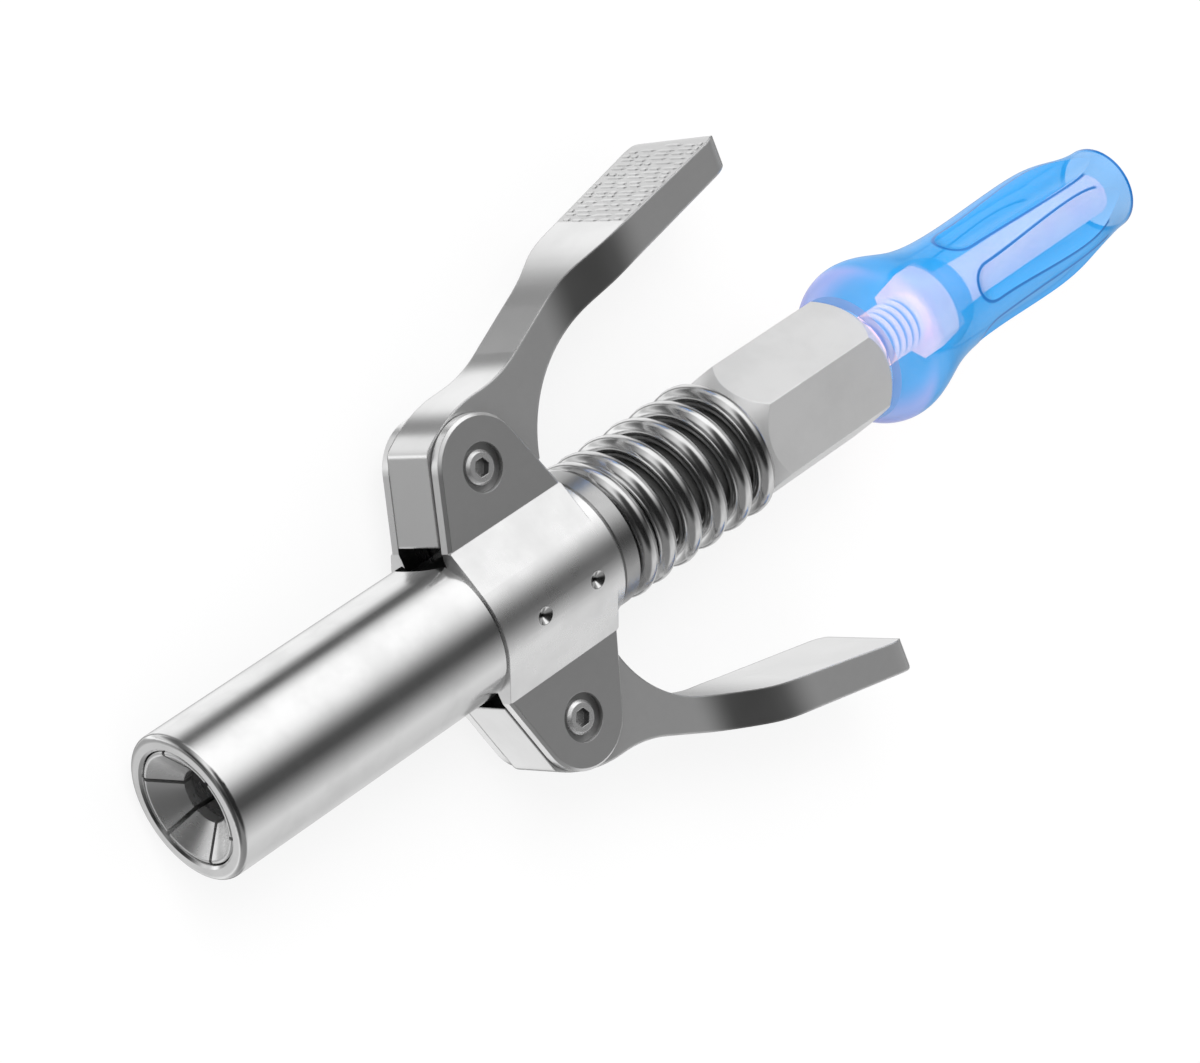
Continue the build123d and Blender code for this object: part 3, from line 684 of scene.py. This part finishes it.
def padEdges(leverName, side):
    # which way the pad's flat looks, and the edges of the faces in it
    mesh = nodes[leverName].data
    faces = []
    for face in mesh.polygons:
        if face.center.x > padFlat["front"] and face.normal.y * side > padFlat["facing"]:
            faces.append(face)
    outward = max(faces, key=lambda face: face.area).normal.copy()
    flat = [face for face in faces if face.normal.dot(outward) > padFlat["level"]]
    corners = [[mesh.vertices[index].co for index in face.vertices] for face in flat]
    return outward, [(ring[i - 1], ring[i]) for ring in corners for i in range(len(ring))]


def buildKnurl(name, leverName, side):
    # side is +1 for the upper lever and -1 for the lower one
    outward, edges = padEdges(leverName, side)
    origin = edges[0][0]
    along = Vector((outward.y, -outward.x, 0)) * side
    work = bmesh.new()
    chance = random.Random(knurl["seed"])
    count = 0
    x = knurl["start"]
    while x < knurl["last"]:
        crossed = [(a, b) for a, b in edges if min(a.x, b.x) < x < max(a.x, b.x)]
        cuts = [a.z + (b.z - a.z) * (x - a.x) / (b.x - a.x) for a, b in crossed]
        low, high = min(cuts) + knurl["margin"], max(cuts) - knurl["margin"]
        z = low - chance.uniform(0, knurl["longest"])
        while z < high:
            far = z + chance.uniform(knurl["shortest"], knurl["longest"])
            near = max(z, low)
            length = min(far, high) - near
            shift = (x - origin.x) / along.x + chance.uniform(-1, 1) * knurl["wander"]
            shift -= knurl["lean"] * (near + length / 2)
            middle = Vector((origin.x, origin.y, near + length / 2)) + along * shift
            if length > knurl["shortest"] / 2 and middle.x < knurl["end"]:
                addDash(work, middle, along, outward, length)
                count += 1
            z = far + knurl["gap"]
        x += knurl["pitch"] * along.x
    piece = pieceFrom(work, name, knurlPlate.material, smooth=False)
    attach(piece, leverName)
    return count


knurlPlate = plated("knurlPlate", knurlSteel)
dashes = buildKnurl("upperKnurl", "upper_lever", 1) + buildKnurl("lowerKnurl", "lower_lever", -1)
print("knurl dashes raised:", dashes)


# stage
floorLook = dict(colour=(0.93, 0.93, 0.93), rough=0.9, white=0.8, reach=3.0)
softKey = dict(size=(0.5, 0.35), power=3.0, aim=(0.06, 0, 0), stands=(-0.2, 0.45, 0.55))
photoCamera = dict(
    place=(-0.20630, 0.13687, 0.35222), lens=119.416, sensor=36.0,
    right=(0.67378, -0.35082, 0.65034), up=(0.45902, 0.88842, 0.00369), back=(-0.57906, 0.29603, 0.75964))
# how bright the studio is round the coupler's axis, in degrees from +Y towards +Z: first what is seen by
# surfaces that face the boot's end or straight out, then by those that lean to the nose
studioRear = (
    (-180, 0.66), (-157, 0.62), (-144, 0.68), (-120, 0.70), (-103, 0.36), (-97, 0.56), (-90, 0.78),
    (-80, 1.0), (-48, 1.0), (-36, 0.86), (-26, 0.34), (-17, 0.09), (-10, 0.14), (2, 0.76), (12, 1.10),
    (26, 1.16), (46, 1.14), (60, 0.98), (72, 0.68), (80, 0.42), (90, 0.18), (98, 0.07), (110, 0.06),
    (120, 0.16), (130, 0.32), (145, 0.54), (160, 0.74), (180, 0.66))
studioFront = (
    (-180, 0.24), (-150, 0.30), (-137, 0.52), (-128, 0.92), (-118, 0.68), (-108, 0.62), (-98, 0.40),
    (-76, 0.38), (-72, 1.12), (-66, 1.15), (-61, 0.60), (-57, 0.62), (-52, 0.92), (-44, 0.45), (-34, 0.16),
    (-20, 0.10), (0, 0.16), (15, 0.50), (30, 0.85), (50, 0.80), (65, 0.34), (80, 0.14), (100, 0.05),
    (118, 0.10), (145, 0.22), (180, 0.24))
studioLevel = dict(even=0.86, white=1.0, change=(-0.1, 0.2))  # change: from the front's levels to the rear's
# how far it darkens towards both ends of the axis, straight overhead, and in a band behind the levers
studioEnds = dict(nose=(0.66, 0.84, 0.75), boot=(0.72, 0.84, 0.60))
studioRoof = dict(clear=0.42, dark=0.12, above=0.55, full=0.8, dim=0.9)
studioBand = dict(rise=(0.115, 0.15), fall=(0.25, 0.42), below=(0.30, 0.50), dim=0.74)


def seenDirectly(kit):
    # 1 for what the camera sees, also through something clear
    ray = kit.add("ShaderNodeLightPath", out="Is Camera Ray")
    return ray.larger(kit.add("ShaderNodeLightPath", out="Is Transmission Ray"))


def buildFloor():
    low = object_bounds()[0]
    reach = floorLook["reach"]
    mesh = bpy.data.meshes.new("floor")
    corners = [(reach * x, reach * y, low.z) for x, y in ((-1, -1), (1, -1), (1, 1), (-1, 1))]
    mesh.from_pydata(corners, [], [(0, 1, 2, 3)])
    finish = Finish("floorPale", Base_Color=floorLook["colour"], Roughness=floorLook["rough"])
    glow = finish.add("ShaderNodeEmission", feeds={"Color": (1, 1, 1)})
    plain = Sock(finish.tree, finish.shader.outputs[0])
    white = seenDirectly(finish) * floorLook["white"]
    surface = finish.add("ShaderNodeMixShader", feeds={0: white, 1: plain, 2: glow})
    finish.give(finish.tree.nodes["Material Output"].inputs["Surface"], surface)
    mesh.materials.append(finish.material)
    floor = bpy.data.objects.new("floor", mesh)
    bpy.context.scene.collection.objects.link(floor)
    floor.visible_glossy = False


def studioGlow(kit):
    # what shiny surfaces see of the studio
    along, across, up = kit.parts(kit.add("ShaderNodeTexCoord", out="Generated"))
    turn = up.maths("ARCTAN2", up, across) / math.tau + 0.5
    halves = []
    for levels in (studioRear, studioFront):
        stops = [((angle + 180) / 360, (level, level, level, 1)) for angle, level in levels]
        halves.append(kit.add("ShaderNodeValToRGB", {"stops": stops}, {"Fac": turn}))
    glow = halves[1] + (halves[0] - halves[1]) * along.ramp(*studioLevel["change"])
    for towards, (begins, full, dim) in ((0 - along, studioEnds["nose"]), (along, studioEnds["boot"])):
        glow = glow * (1 - dim * towards.ramp(begins, full))
    roof = up.ramp(studioRoof["above"], studioRoof["full"])
    roof = roof * (1 - along.ramp(studioRoof["dark"], studioRoof["clear"]))
    band = along.ramp(*studioBand["rise"]) * (1 - along.ramp(*studioBand["fall"]))
    band = band * (0 - up).ramp(*studioBand["below"])
    return glow * (1 - studioRoof["dim"] * roof) * (1 - studioBand["dim"] * band)


def buildWorld():
    world = bpy.data.worlds.new("studio")
    bpy.context.scene.world = world
    world.use_nodes = True
    world.node_tree.nodes.remove(world.node_tree.nodes["Background"])
    kit = Nodes(world.node_tree)
    backgrounds = []
    for strength in (studioLevel["even"], studioGlow(kit), studioLevel["white"]):
        backgrounds.append(kit.add("ShaderNodeBackground", feeds={"Color": (1, 1, 1), "Strength": strength}))
    even, studio, white = backgrounds
    glossy = kit.add("ShaderNodeLightPath", out="Is Glossy Ray")
    inGloss = kit.add("ShaderNodeMixShader", feeds={0: glossy, 1: even, 2: studio})
    surface = kit.add("ShaderNodeMixShader", feeds={0: seenDirectly(kit), 1: inGloss, 2: white})
    kit.give(world.node_tree.nodes["World Output"].inputs["Surface"], surface)


def buildLamp():
    lamp = bpy.data.lights.new("softKey", "AREA")
    lamp.shape = "RECTANGLE"
    lamp.size, lamp.size_y = softKey["size"]
    lamp.energy = softKey["power"]
    holder = bpy.data.objects.new("softKey", lamp)
    bpy.context.scene.collection.objects.link(holder)
    aim = Vector(softKey["aim"])
    holder.location = aim + Vector(softKey["stands"])
    holder.rotation_mode = "QUATERNION"
    holder.rotation_quaternion = (aim - holder.location).to_track_quat("-Z", "Y")
    holder.visible_glossy = False


def buildCamera():
    data = bpy.data.cameras.new("photoView")
    data.lens = photoCamera["lens"]
    data.sensor_width = photoCamera["sensor"]
    data.sensor_fit = "HORIZONTAL"
    data.dof.use_dof = False
    camera = bpy.data.objects.new("photoView", data)
    bpy.context.scene.collection.objects.link(camera)
    turn = Matrix((photoCamera["right"], photoCamera["up"], photoCamera["back"])).transposed()
    camera.rotation_mode = "QUATERNION"
    camera.rotation_quaternion = turn.to_quaternion()
    camera.location = photoCamera["place"]
    bpy.context.scene.camera = camera


buildFloor()
buildWorld()
buildLamp()
buildCamera()
bpy.context.scene.view_settings.view_transform = "Standard"
print("stage set")
